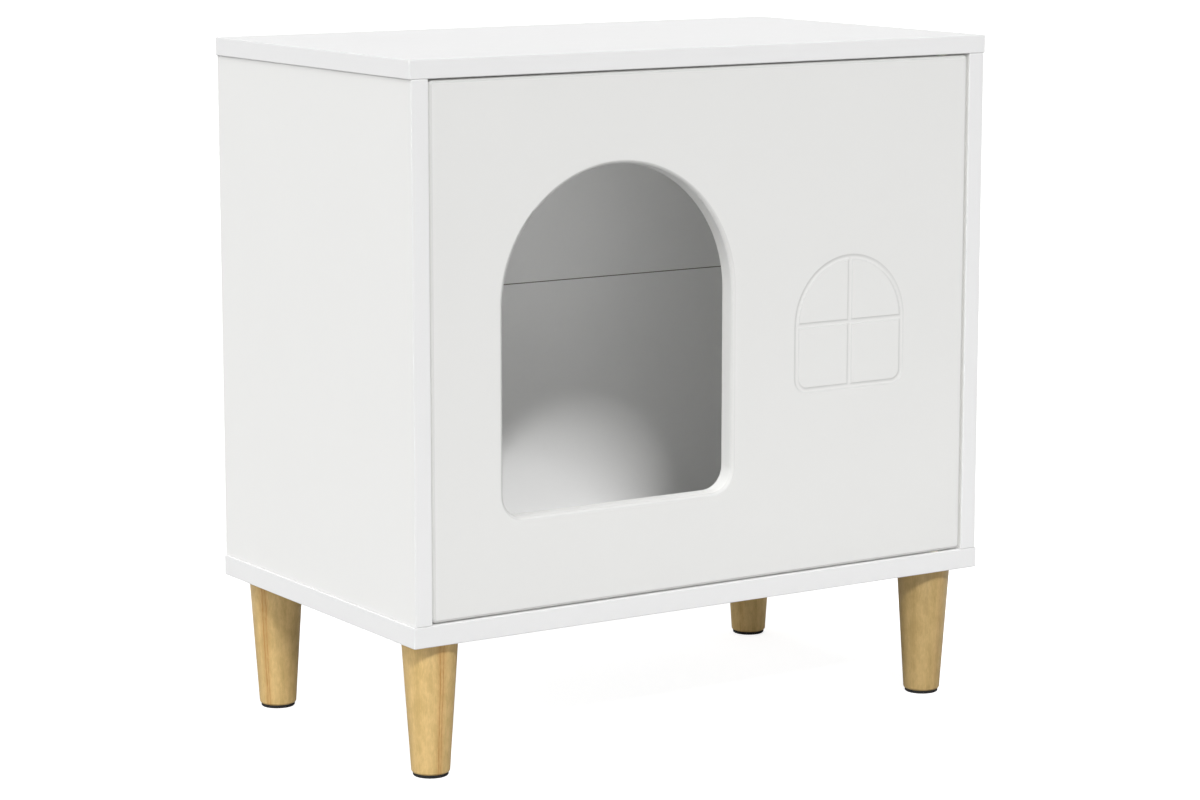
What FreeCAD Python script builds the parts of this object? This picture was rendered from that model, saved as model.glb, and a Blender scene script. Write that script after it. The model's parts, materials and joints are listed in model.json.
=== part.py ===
import FreeCAD, Part
import math
import os
import Sketcher
from FreeCAD import Placement, Rotation, Vector

# Cat house: a white cabinet on four turned legs, closed at the front by one inset door with an
# arched doorway and a milled window motif. Millimetres, +Z up, front towards -Y, origin on the
# floor under the middle of the cabinet.

# Driving dimensions: name, size in millimetres, meaning.
SIZES = (
    ("overall_width", 588, "top and bottom panel, left to right"),
    ("overall_depth", 342, "top and bottom panel, front to back"),
    ("overall_height", 600, "floor to the top face"),
    ("top_thickness", 16, "top panel"),
    ("bottom_thickness", 18, "bottom panel"),
    ("side_thickness", 16, "side panels"),
    ("panel_overhang", 1.5, "top and bottom panel beyond each side panel"),
    ("panel_edge_radius", 0.8, "softened arrises of the boards"),
    ("back_thickness", 5, "back boards"),
    ("rebate_width", 8, "how far the back boards reach into the panels round them"),
    ("back_fit", 0.3, "room round the back boards in their rebate"),
    ("back_seam", 0.1, "joint between the two back boards"),
    ("back_edge_radius", 0.6, "softened arrises of the back boards"),
    ("door_thickness", 16, "door"),
    ("door_gap", 1.2, "gap all round the door"),
    ("door_recess", 1, "door face behind the panels' front edges"),
    ("door_edge_radius", 3, "rounded front arris of the door"),
    ("door_corner_radius", 4, "door corners seen from the front"),
    ("arch_width", 230, "doorway"),
    ("arch_height", 289, "doorway, sill to crown"),
    ("arch_rise", 1.5, "doorway's middle above the door's middle"),
    ("arch_offset", 92, "doorway's middle, left of the cabinet's middle"),
    ("arch_corner_radius", 20, "doorway's lower corners"),
    ("arch_edge_radius", 3.5, "rounded front arris of the doorway"),
    ("window_width", 114, "window motif, on the groove's middle line"),
    ("window_height", 114, "window motif, on the groove's middle line"),
    ("window_drop", 5.5, "window motif's middle below the door's middle"),
    ("window_offset", 148, "window motif's middle, right of the cabinet's middle"),
    ("window_corner_radius", 11, "window motif's lower corners"),
    ("groove_width", 5.5, "milled groove at the door's face"),
    ("groove_depth", 0.5, "milled groove"),
    ("leg_length", 115.5, "wooden leg without its pad"),
    ("leg_top_diameter", 48, "leg under the bottom panel"),
    ("leg_bottom_diameter", 32.5, "leg above the pad"),
    ("leg_edge_radius", 2.5, "rounded lower arris of the leg"),
    ("leg_inset", 34, "leg axis from the bottom panel's edges"),
    ("pad_thickness", 2.5, "foot pad"),
    ("pad_diameter", 30, "foot pad"),
    ("pad_edge_radius", 0.6, "softened lower arris of the pad"),
    ("hanger_diameter", 8, "double-ended leg bolt"),
    ("hanger_in_leg", 36, "leg bolt's length in the leg"),
    ("hanger_in_panel", 12, "leg bolt's length in the insert"),
    ("insert_diameter", 12, "threaded insert, outside"),
    ("insert_length", 14, "threaded insert"),
    ("fastener_fit", 0.1, "radial room round pins, bolts and screws"),
    ("bore_room", 0.5, "room at the end of a blind bore"),
    ("fastener_chamfer", 0.8, "bevelled ends of pins, bolts and dowels"),
    ("recess_span", 3.4, "cross recess in the screw heads, across"),
    ("recess_width", 0.9, "one arm of the cross recess"),
    ("recess_depth", 1.1, "cross recess in the screw heads"),
    ("dowel_diameter", 8, "wooden dowel"),
    ("dowel_in_side", 20, "dowel's length in the side panel"),
    ("dowel_in_panel", 10, "dowel's length in the top or bottom panel"),
    ("dowel_inset", 110, "dowels from the front and back edges"),
    ("cam_inset", 60, "cam fittings from the front and back edges"),
    ("cam_setback", 34, "cam axis from the end of the side panel"),
    ("cam_diameter", 15, "cam lock"),
    ("cam_thickness", 12.5, "cam lock"),
    ("cam_slot_room", 0.4, "radial room round the bolt in the cam lock"),
    ("cam_bolt_diameter", 7, "cam bolt's shank and head"),
    ("cam_root_diameter", 5, "cam bolt's screwed end"),
    ("cam_root_length", 11, "cam bolt's screwed end"),
    ("cam_neck_diameter", 4.4, "cam bolt's neck"),
    ("cam_neck_length", 5, "cam bolt's neck"),
    ("cam_head_length", 4.5, "cam bolt's head"),
    ("cam_head_past", 1.5, "cam bolt's head beyond the cam axis"),
    ("cap_diameter", 18, "cover cap over a cam lock"),
    ("cap_thickness", 1.2, "cover cap"),
    ("back_screw_diameter", 3, "screws of the back boards"),
    ("back_screw_head", 6, "countersunk head's diameter"),
    ("back_screw_head_height", 1.8, "countersunk head"),
    ("back_screw_length", 15, "screw, head to tip"),
    ("back_screw_near", 30, "side screws nearest to the seam, from the seam"),
    ("back_screw_inset", 34, "side screws farthest from the seam, from the floor and the ceiling"),
    ("back_screw_row", 150, "upper and lower screws, from the cabinet's middle"),
    ("pivot_inset", 25.3, "door's pivot axis from its hinge edge"),
    ("pin_diameter", 6, "door pivot pin"),
    ("pin_in_door", 22, "pivot pin's length in the door"),
    ("pin_in_bush", 9, "pivot pin's length in the bush"),
    ("pin_running_fit", 0.05, "radial room of the pin in its bush"),
    ("bush_diameter", 9, "pivot bush, outside"),
    ("bush_length", 11, "pivot bush in its panel"),
    ("bush_flange_diameter", 12, "flange that carries the door"),
    ("flange_play", 0.3, "room between the flange and the door's edge"),
    ("catch_inset", 60, "catch's middle from the left side panel"),
    ("catch_width", 26, "catch housing without its lugs"),
    ("catch_depth", 15, "catch housing, front to back"),
    ("catch_height", 16, "catch housing"),
    ("catch_lug_width", 10, "screw lugs of the catch"),
    ("catch_lug_thickness", 3.5, "screw lugs of the catch"),
    ("catch_edge_radius", 0.6, "softened arrises of the catch housing"),
    ("catch_wall", 2, "housing round the magnet"),
    ("catch_stack_room", 0.2, "room round the magnet and its pole plates"),
    ("pole_thickness", 1.4, "steel pole plates of the catch"),
    ("pole_proud", 0.8, "pole plates in front of the housing"),
    ("magnet_thickness", 5.6, "magnet between the pole plates"),
    ("magnet_setback", 1, "magnet behind the housing's front"),
    ("catch_play", 0.3, "room between the pole plates and the strike plate"),
    ("catch_screw_diameter", 3.2, "screws of the catch"),
    ("catch_screw_head", 6.4, "round head's diameter"),
    ("catch_screw_head_height", 2.2, "round head"),
    ("catch_screw_in_panel", 11, "screw's length in the top panel"),
    ("strike_width", 38, "strike plate on the door"),
    ("strike_height", 10, "strike plate on the door"),
    ("strike_thickness", 1.4, "strike plate on the door"),
    ("strike_edge_radius", 0.3, "softened arrises of the strike plate"),
    ("strike_screw_spacing", 28, "strike plate's two screws"),
    ("strike_screw_diameter", 3, "strike plate's screws"),
    ("strike_screw_head", 5.6, "countersunk head's diameter"),
    ("strike_screw_length", 12, "screw, head to tip"),
)

# Places worked out from the driving dimensions.
LAYOUT = (
    ("half_width", "Sizes.overall_width / 2"),
    ("half_depth", "Sizes.overall_depth / 2"),
    ("carcass_low_z", "Sizes.leg_length + Sizes.pad_thickness"),
    ("floor_z", "carcass_low_z + Sizes.bottom_thickness"),
    ("ceiling_z", "Sizes.overall_height - Sizes.top_thickness"),
    ("side_height", "ceiling_z - floor_z"),
    ("middle_z", "(floor_z + ceiling_z) / 2"),
    ("side_x", "half_width - Sizes.panel_overhang - Sizes.side_thickness / 2"),
    ("inner_x", "half_width - Sizes.panel_overhang - Sizes.side_thickness"),
    ("rebate_x", "inner_x + Sizes.rebate_width"),
    ("rebate_low_z", "floor_z - Sizes.rebate_width"),
    ("rebate_high_z", "ceiling_z + Sizes.rebate_width"),
    ("back_front_y", "half_depth - Sizes.back_thickness"),
    ("back_middle_y", "half_depth - Sizes.back_thickness / 2"),
    ("back_board_height", "(rebate_high_z - rebate_low_z - Sizes.back_seam) / 2 - Sizes.back_fit"),
    ("back_board_rise", "(Sizes.back_seam + back_board_height) / 2"),
    ("back_screw_x", "inner_x + Sizes.rebate_width / 2"),
    ("back_screw_reach", "side_height / 2 - Sizes.back_screw_inset"),
    ("back_screw_rise", "side_height / 2 + Sizes.rebate_width / 2"),
    ("door_front_y", "Sizes.door_recess - half_depth"),
    ("door_back_y", "door_front_y + Sizes.door_thickness"),
    ("door_half_width", "inner_x - Sizes.door_gap"),
    ("door_low_z", "floor_z + Sizes.door_gap"),
    ("door_high_z", "ceiling_z - Sizes.door_gap"),
    ("arch_radius", "Sizes.arch_width / 2"),
    ("arch_x", "-Sizes.arch_offset"),
    ("arch_left_x", "arch_x - arch_radius"),
    ("arch_right_x", "arch_x + arch_radius"),
    ("arch_low_z", "middle_z + Sizes.arch_rise - Sizes.arch_height / 2"),
    ("arch_high_z", "arch_low_z + Sizes.arch_height"),
    ("window_radius", "Sizes.window_width / 2"),
    ("window_low_z", "middle_z - Sizes.window_drop - Sizes.window_height / 2"),
    ("window_spring_z", "window_low_z + Sizes.window_height - window_radius"),
    ("window_corner_x", "window_radius - Sizes.window_corner_radius"),
    ("window_corner_z", "window_low_z + Sizes.window_corner_radius"),
    ("groove_radius", "(Sizes.groove_width ^ 2 / 4 + Sizes.groove_depth ^ 2) / (2 * Sizes.groove_depth)"),
    ("groove_axis_y", "door_front_y + Sizes.groove_depth - groove_radius"),
    ("leg_x", "half_width - Sizes.leg_inset"),
    ("leg_y", "half_depth - Sizes.leg_inset"),
    ("cam_y", "half_depth - Sizes.cam_inset"),
    ("dowel_y", "half_depth - Sizes.dowel_inset"),
    ("cam_axis_depth", "Sizes.cam_thickness - Sizes.side_thickness / 2"),
    ("cam_head_low", "-Sizes.cam_setback - Sizes.cam_head_past"),
    ("cam_head_high", "cam_head_low + Sizes.cam_head_length"),
    ("cam_neck_high", "cam_head_high + Sizes.cam_neck_length"),
    ("pivot_x", "door_half_width - Sizes.pivot_inset"),
    ("pivot_y", "door_front_y + Sizes.door_thickness / 2"),
    ("pin_high", "Sizes.door_gap + Sizes.pin_in_door"),
    ("catch_x", "Sizes.catch_inset - inner_x"),
    ("catch_half_width", "Sizes.catch_width / 2"),
    ("catch_lug_x", "catch_half_width + Sizes.catch_lug_width"),
    ("catch_screw_x", "catch_half_width + Sizes.catch_lug_width / 2"),
    ("strike_back_y", "door_back_y + Sizes.strike_thickness"),
    ("pole_front_y", "strike_back_y + Sizes.catch_play"),
    ("catch_front_y", "pole_front_y + Sizes.pole_proud"),
    ("catch_back_y", "catch_front_y + Sizes.catch_depth"),
    ("catch_middle_y", "(catch_front_y + catch_back_y) / 2"),
    ("catch_low_z", "ceiling_z - Sizes.catch_height"),
    ("stack_half_width", "catch_half_width - Sizes.catch_wall - Sizes.catch_stack_room"),
    ("stack_back_y", "catch_back_y - Sizes.catch_wall - Sizes.catch_stack_room"),
    ("stack_low_z", "catch_low_z + Sizes.catch_wall + Sizes.catch_stack_room"),
    ("magnet_low_z", "stack_low_z + Sizes.pole_thickness"),
    ("magnet_high_z", "magnet_low_z + Sizes.magnet_thickness"),
    ("stack_high_z", "magnet_high_z + Sizes.pole_thickness"),
    ("strike_z", "(stack_low_z + stack_high_z) / 2"),
)

UP = Rotation()
DOWN = Rotation(Vector(1, 0, 0), 180)
TO_FRONT = Rotation(Vector(1, 0, 0), 90)
TO_RIGHT = Rotation(Vector(0, 1, 0), 90)
SIDES = (("left", -1), ("right", 1))
ENDS = (("front", -1), ("rear", 1))

# How far a cut reaches past the face that it opens, and how close two heights are one.
OVERSHOOT = 1
TOLERANCE = 1e-3

doc = FreeCAD.newDocument("cat_house")
sizes = doc.addObject("Spreadsheet::Sheet", "Sizes")
for row, (alias, value, meaning) in enumerate(SIZES, start=1):
    sizes.set(f"A{row}", meaning)
    sizes.set(f"B{row}", str(value))
    sizes.setAlias(f"B{row}", alias)
layout = doc.addObject("Spreadsheet::Sheet", "Layout")
for row, (alias, formula) in enumerate(LAYOUT, start=1):
    layout.set(f"A{row}", f"={formula}")
    layout.setAlias(f"A{row}", alias)
doc.recompute()
nodes = []


def number(expression):
    """The present value of an expression."""
    return float(sizes.evalExpression(expression))


def place(thing, at, turn=UP):
    """Bind an object's position to three expressions and give it a fixed direction."""
    thing.Placement = Placement(Vector(), turn)
    for axis, expression in zip("xyz", at):
        thing.setExpression(f"Placement.Base.{axis}", expression)
    return thing


def node(thing, label):
    """Name a finished piece and put it on the list of pieces to write."""
    thing.Label = label
    nodes.append(thing)
    return thing


def sketch_on(body, name, role, offset="0"):
    """A sketch on one of the body's own origin planes, moved along that plane's normal."""
    sketch = body.newObject("Sketcher::SketchObject", name)
    plane = next(item for item in body.Origin.OriginFeatures if item.Role == role)
    sketch.AttachmentSupport = [(plane, "")]
    sketch.MapMode = "FlatFace"
    sketch.setExpression("AttachmentOffset.Base.z", offset)
    return sketch


def dimension(sketch, kind, references, expression):
    """A driving constraint bound to an expression."""
    index = sketch.addConstraint(Sketcher.Constraint(kind, *references, number(expression)))
    sketch.setExpression(f"Constraints[{index}]", expression)


def from_origin(element, point):
    """References of a distance from a sketch's origin to a point."""
    origin, origin_point = -1, 1
    return origin, origin_point, element, point


def locate(sketch, element, point, x, y):
    """Fix a point of a sketch by its coordinates. A zero puts it on that axis."""
    horizontal_axis, vertical_axis = -1, -2
    if x == "0":
        sketch.addConstraint(Sketcher.Constraint("PointOnObject", element, point, vertical_axis))
    else:
        dimension(sketch, "DistanceX", from_origin(element, point), x)
    if y == "0":
        sketch.addConstraint(Sketcher.Constraint("PointOnObject", element, point, horizontal_axis))
    else:
        dimension(sketch, "DistanceY", from_origin(element, point), y)


def polygon(sketch, corners):
    """A closed outline of straight lines through corners given as expressions."""
    points = [Vector(number(x), number(y), 0) for x, y in corners]
    count = len(points)
    first = sketch.GeometryCount
    for index in range(count):
        sketch.addGeometry(Part.LineSegment(points[index], points[(index + 1) % count]), False)
    for index in range(count):
        following = first + (index + 1) % count
        sketch.addConstraint(Sketcher.Constraint("Coincident", first + index, 2, following, 1))
    for index, (x, y) in enumerate(corners):
        locate(sketch, first + index, 1, x, y)


def rounded_outline(sketch, low, high, radius, arched=False):
    """A rectangle with round lower corners and either round upper corners or a half-round top."""
    left, bottom = (number(value) for value in low)
    right, top = (number(value) for value in high)
    corner = number(radius)
    top_corner = (right - left) / 2 if arched else corner
    centres = (
        (right - corner, bottom + corner, corner, -90),
        (right - top_corner, top - top_corner, top_corner, 0),
        (left + top_corner, top - top_corner, top_corner, 90),
        (left + corner, bottom + corner, corner, 180),
    )
    if arched:
        centres = (centres[0], centres[1], centres[3])
    arcs = []
    for x, y, bend, start in centres:
        circle = Part.Circle(Vector(x, y, 0), Vector(0, 0, 1), bend)
        sweep = 180 if arched and start == 0 else 90
        arc = Part.ArcOfCircle(circle, math.radians(start), math.radians(start + sweep))
        arcs.append(sketch.addGeometry(arc, False))
    lines = []
    for index, arc in enumerate(arcs):
        following = arcs[(index + 1) % len(arcs)]
        start = sketch.getPoint(arc, 2)
        end = sketch.getPoint(following, 1)
        line = sketch.addGeometry(Part.LineSegment(start, end), False)
        sketch.addConstraint(Sketcher.Constraint("Tangent", arc, 2, line, 1))
        sketch.addConstraint(Sketcher.Constraint("Tangent", line, 2, following, 1))
        lines.append(line)
    right_line, left_line, bottom_line = lines[0], lines[-2], lines[-1]
    sketch.addConstraint(Sketcher.Constraint("Horizontal", bottom_line))
    sketch.addConstraint(Sketcher.Constraint("Vertical", right_line))
    sketch.addConstraint(Sketcher.Constraint("Vertical", left_line))
    sketch.addConstraint(Sketcher.Constraint("Equal", arcs[0], arcs[-1]))
    if not arched:
        sketch.addConstraint(Sketcher.Constraint("Equal", arcs[0], arcs[1]))
        sketch.addConstraint(Sketcher.Constraint("Horizontal", lines[1]))
    dimension(sketch, "Radius", (arcs[0],), radius)
    start_point, centre_point = 1, 3
    dimension(sketch, "DistanceX", from_origin(right_line, start_point), high[0])
    dimension(sketch, "DistanceX", from_origin(left_line, start_point), low[0])
    dimension(sketch, "DistanceY", from_origin(bottom_line, start_point), low[1])
    if arched:
        half_round = f"({high[0]} - ({low[0]})) / 2"
        dimension(sketch, "DistanceY", from_origin(arcs[1], centre_point), f"{high[1]} - {half_round}")
    else:
        dimension(sketch, "DistanceY", from_origin(lines[1], start_point), high[1])


def edges_where(feature, test):
    """Names of a feature's edges that pass a test."""
    doc.recompute()
    return [f"Edge{index}" for index, edge in enumerate(feature.Shape.Edges, start=1) if test(edge)]


def rounded(body, feature, edges, radius):
    """Round some edges of a feature."""
    fillet = body.newObject("PartDesign::Fillet", f"{body.Name}_rounding")
    fillet.Base = (feature, edges)
    fillet.setExpression("Radius", radius)
    body.Tip = fillet
    doc.recompute()
    return fillet


def padded_up(body, sketch, length):
    """Pad a sketch along its plane's normal."""
    pad = body.newObject("PartDesign::Pad", f"{body.Name}_pad")
    pad.Profile = sketch
    pad.setExpression("Length", length)
    body.Tip = pad
    doc.recompute()
    return pad


def board(name, size, at, radius):
    """A board with softened arrises, modelled about its own middle."""
    width, depth, height = size
    body = doc.addObject("PartDesign::Body", name)
    outline = sketch_on(body, f"{name}_outline", "XY_Plane", f"-({height}) / 2")
    half_x, half_y = f"({width}) / 2", f"({depth}) / 2"
    polygon(outline, (
        (f"-{half_x}", f"-{half_y}"),
        (half_x, f"-{half_y}"),
        (half_x, half_y),
        (f"-{half_x}", half_y),
    ))
    slab = padded_up(body, outline, height)
    rounded(body, slab, edges_where(slab, lambda edge: True), radius)
    return place(body, at)


def turned(name, profile):
    """A body turned about its own Z axis from an outline of radius and height expressions."""
    body = doc.addObject("PartDesign::Body", name)
    sketch = sketch_on(body, f"{name}_profile", "XZ_Plane")
    polygon(sketch, profile)
    turning = body.newObject("PartDesign::Revolution", f"{name}_turning")
    turning.Profile = sketch
    turning.ReferenceAxis = (sketch, ["V_Axis"])
    turning.Angle = 360
    body.Tip = turning
    doc.recompute()
    return body


def round_bar(radius, low, high, bevel="Sizes.fastener_chamfer"):
    """Profile of a round bar with bevelled ends."""
    return (
        ("0", low),
        (f"{radius} - {bevel}", low),
        (radius, f"{low} + {bevel}"),
        (radius, f"{high} - {bevel}"),
        (f"{radius} - {bevel}", high),
        ("0", high),
    )


def plain_bar(radius, low, high):
    """Profile of a plain round bar."""
    return (("0", low), (radius, low), (radius, high), ("0", high))


def countersunk(head, head_height, shank, length):
    """Profile of a countersunk screw that drives along +Z from its flat head at zero."""
    return (
        ("0", "0"),
        (f"{head} / 2", "0"),
        (f"{shank} / 2", head_height),
        (f"{shank} / 2", f"{length} - {shank}"),
        ("0", length),
    )


def block(name, low, high):
    """A plain block between two corners given as expressions."""
    solid = doc.addObject("Part::Box", name)
    for side, start, end in zip(("Length", "Width", "Height"), low, high):
        solid.setExpression(side, f"({end}) - ({start})")
    return place(solid, low)


def rod(name, radius, length, at, turn):
    """A plain cylinder that starts at a place and runs in a direction."""
    solid = doc.addObject("Part::Cylinder", name)
    solid.setExpression("Radius", radius)
    solid.setExpression("Height", length)
    return place(solid, at, turn)


def ring_part(name, radius, thickness, at, turn, sweep):
    """Part of a ring of round section."""
    solid = doc.addObject("Part::Torus", name)
    solid.setExpression("Radius1", radius)
    solid.setExpression("Radius2", thickness)
    solid.Angle3 = sweep
    return place(solid, at, turn)


def copies(name, master, places):
    """One group of separate solids: the master repeated at each place."""
    links = []
    for index, (at, turn) in enumerate(places, start=1):
        link = doc.addObject("App::Link", f"{name}_{index}")
        link.LinkedObject = master
        links.append(place(link, at, turn))
    group = doc.addObject("Part::Compound", name)
    group.Links = links
    return group


def cut(name, base, *tools):
    """Take each tool away from the base in turn."""
    for index, tool in enumerate(tools, start=1):
        result = doc.addObject("Part::Cut", f"{name}_cut_{index}")
        result.Base = base
        result.Tool = tool
        base = result
    return base


def fuse(name, parts):
    """Join parts into one solid."""
    result = doc.addObject("Part::MultiFuse", name)
    result.Shapes = parts
    return result


def cross_recess(name, blank, head_top):
    """Cut a cross into a screw's head, from the head's top into the screw."""
    half_span = "Sizes.recess_span / 2"
    half_width = "Sizes.recess_width / 2"
    low = f"{head_top} - {OVERSHOOT}"
    high = f"{head_top} + Sizes.recess_depth"
    arms = [
        block(f"{name}_arm_{index}", (f"-{x}", f"-{y}", low), (x, y, high))
        for index, (x, y) in enumerate(((half_span, half_width), (half_width, half_span)), start=1)
    ]
    return cut(name, blank, *arms)


# Corner joints: the place of each fitting on the two sides, at the top and the bottom. The turn
# points a fitting's own +Z into the top or the bottom panel.
def joint_places(depth_expression):
    spots = []
    for _, side in SIDES:
        for height, turn in (("Layout.ceiling_z", UP), ("Layout.floor_z", DOWN)):
            for _, end in ENDS:
                spots.append(((f"{side} * Layout.side_x", f"{end} * {depth_expression}", height), turn))
    return spots


dowel_radius = "Sizes.dowel_diameter / 2"
dowel_places = joint_places("Layout.dowel_y")
dowel = turned("dowel", round_bar(dowel_radius, "-Sizes.dowel_in_side", "Sizes.dowel_in_panel"))
dowel_bore = turned("dowel_bore", plain_bar(
    f"{dowel_radius} + Sizes.fastener_fit",
    "-Sizes.dowel_in_side - Sizes.bore_room",
    "Sizes.dowel_in_panel + Sizes.bore_room",
))
node(copies("dowels", dowel, dowel_places), "wooden_dowels")
dowel_bores = copies("dowel_bores", dowel_bore, dowel_places)

bolt_places = joint_places("Layout.cam_y")
bolt_radius = "Sizes.cam_bolt_diameter / 2"
cam_bolt = turned("cam_bolt", (
    ("0", "Layout.cam_head_low"),
    (bolt_radius, "Layout.cam_head_low"),
    (bolt_radius, "Layout.cam_head_high"),
    ("Sizes.cam_neck_diameter / 2", "Layout.cam_head_high"),
    ("Sizes.cam_neck_diameter / 2", "Layout.cam_neck_high"),
    (bolt_radius, "Layout.cam_neck_high"),
    (bolt_radius, "0"),
    ("Sizes.cam_root_diameter / 2", "0"),
    ("Sizes.cam_root_diameter / 2", "Sizes.cam_root_length - Sizes.fastener_chamfer"),
    ("Sizes.cam_root_diameter / 2 - Sizes.fastener_chamfer", "Sizes.cam_root_length"),
    ("0", "Sizes.cam_root_length"),
))
bolt_bore = turned("cam_bolt_bore", (
    ("0", "-Sizes.cam_setback"),
    (f"{bolt_radius} + Sizes.cam_slot_room", "-Sizes.cam_setback"),
    (f"{bolt_radius} + Sizes.cam_slot_room", "0"),
    ("Sizes.cam_root_diameter / 2 + Sizes.fastener_fit", "0"),
    ("Sizes.cam_root_diameter / 2 + Sizes.fastener_fit", "Sizes.cam_root_length + Sizes.bore_room"),
    ("0", "Sizes.cam_root_length + Sizes.bore_room"),
))
node(copies("bolts", cam_bolt, bolt_places), "cam_bolts")
bolt_bores = copies("cam_bolt_bores", bolt_bore, bolt_places)

# Cam locks lie in the side panels' inner faces. A lock's own +Z points into the cabinet from the
# bottom of its bore, and its own +Y points along the bolt to the joint.
cam_places = []
cap_places = []
for _, side in SIDES:
    inward = Vector(-side, 0, 0)
    for joint, upward in (("Layout.ceiling_z", 1), ("Layout.floor_z", -1)):
        level = f"{joint} - {upward} * Sizes.cam_setback"
        along_bolt = Vector(0, 0, upward)
        turn = Rotation(along_bolt.cross(inward), along_bolt, inward, "ZYX")
        for _, end in ENDS:
            cam_y = f"{end} * Layout.cam_y"
            cam_places.append(((f"{side} * (Layout.inner_x + Sizes.cam_thickness)", cam_y, level), turn))
            cap_places.append(((f"{side} * Layout.inner_x", cam_y, level), turn))
cam_radius = "Sizes.cam_diameter / 2"
cam_blank = turned("cam_blank", plain_bar(cam_radius, "0", "Sizes.cam_thickness"))
cam_slot = rod(
    "cam_slot",
    f"{bolt_radius} + Sizes.cam_slot_room",
    "Sizes.cam_diameter",
    ("0", "-Sizes.cam_head_past - Sizes.cam_slot_room", "Layout.cam_axis_depth"),
    Rotation(Vector(1, 0, 0), -90),
)
cam_bore = turned("cam_bore", plain_bar(
    f"{cam_radius} + Sizes.fastener_fit", "-Sizes.fastener_fit", "Sizes.cam_thickness + Sizes.bore_room",
))
cam_lock = cut("cam_lock", cam_blank, cam_slot)
node(copies("cams", cam_lock, cam_places), "cam_locks")
cam_bores = copies("cam_bores", cam_bore, cam_places)
cap_radius = "Sizes.cap_diameter / 2"
cover_cap = turned("cover_cap", (
    ("0", "0"),
    (cap_radius, "0"),
    (cap_radius, "Sizes.cap_thickness / 2"),
    (f"{cap_radius} - Sizes.cap_thickness / 2", "Sizes.cap_thickness"),
    ("0", "Sizes.cap_thickness"),
))
node(copies("caps", cover_cap, cap_places), "cam_cover_caps")

# Screws of the back boards: two columns into the sides, one row into the top and the bottom.
screw_places = []
for _, side in SIDES:
    for rise in (-1, 1):
        column_x = f"{side} * Layout.back_screw_x"
        for reach in ("Sizes.back_screw_near", "Layout.back_screw_reach"):
            at = (column_x, "Layout.half_depth", f"Layout.middle_z + {rise} * {reach}")
            screw_places.append((at, TO_FRONT))
        row_z = f"Layout.middle_z + {rise} * Layout.back_screw_rise"
        screw_places.append(((f"{side} * Sizes.back_screw_row", "Layout.half_depth", row_z), TO_FRONT))
back_screw_blank = turned("back_screw_blank", countersunk(
    "Sizes.back_screw_head",
    "Sizes.back_screw_head_height",
    "Sizes.back_screw_diameter",
    "Sizes.back_screw_length",
))
back_screw = cross_recess("back_screw", back_screw_blank, "0")
back_screw_bore = turned("back_screw_bore", countersunk(
    "(Sizes.back_screw_head + 2 * Sizes.fastener_fit)",
    "Sizes.back_screw_head_height",
    "(Sizes.back_screw_diameter + 2 * Sizes.fastener_fit)",
    "(Sizes.back_screw_length + Sizes.bore_room)",
))
node(copies("back_screws", back_screw, screw_places), "back_panel_screws")
back_screw_bores = copies("back_screw_bores", back_screw_bore, screw_places)

# Legs, their pads, bolts and inserts.
insert_radius = "Sizes.insert_diameter / 2"
hanger_radius = "Sizes.hanger_diameter / 2"
hanger_places = []
for end_name, end in ENDS:
    for side_name, side in SIDES:
        corner = f"{end_name}_{side_name}"
        leg_x = f"{side} * Layout.leg_x"
        leg_y = f"{end} * Layout.leg_y"
        hanger_places.append(((leg_x, leg_y, "Layout.carcass_low_z"), UP))
        leg = turned(f"{corner}_leg_turned", (
            ("0", "0"),
            ("Sizes.leg_bottom_diameter / 2", "0"),
            ("Sizes.leg_top_diameter / 2", "Sizes.leg_length"),
            (f"{hanger_radius} + Sizes.fastener_fit", "Sizes.leg_length"),
            (
                f"{hanger_radius} + Sizes.fastener_fit",
                "Sizes.leg_length - Sizes.hanger_in_leg - Sizes.bore_room",
            ),
            ("0", "Sizes.leg_length - Sizes.hanger_in_leg - Sizes.bore_room"),
        ))
        rim = edges_where(leg.Tip, lambda edge: edge.Closed and edge.BoundBox.ZMax < TOLERANCE)
        rounded(leg, leg.Tip, rim, "Sizes.leg_edge_radius")
        node(place(leg, (leg_x, leg_y, "Sizes.pad_thickness")), f"{corner}_leg")
        pad = turned(f"{corner}_pad_turned", (
            ("0", "0"),
            ("Sizes.pad_diameter / 2 - Sizes.pad_edge_radius", "0"),
            ("Sizes.pad_diameter / 2", "Sizes.pad_edge_radius"),
            ("Sizes.pad_diameter / 2", "Sizes.pad_thickness"),
            ("0", "Sizes.pad_thickness"),
        ))
        node(place(pad, (leg_x, leg_y, "0")), f"{corner}_foot_pad")
hanger = turned("hanger", round_bar(hanger_radius, "-Sizes.hanger_in_leg", "Sizes.hanger_in_panel"))
node(copies("hangers", hanger, hanger_places), "leg_hanger_bolts")
insert = turned("insert", (
    (f"{hanger_radius} + Sizes.fastener_fit", "0"),
    (insert_radius, "0"),
    (insert_radius, "Sizes.insert_length"),
    (f"{hanger_radius} + Sizes.fastener_fit", "Sizes.insert_length"),
))
node(copies("inserts", insert, hanger_places), "leg_threaded_inserts")
insert_bore = turned("insert_bore", plain_bar(
    f"{insert_radius} + Sizes.fastener_fit", "-Sizes.fastener_fit", "Sizes.insert_length + Sizes.bore_room",
))
insert_bores = copies("insert_bores", insert_bore, hanger_places)

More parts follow.
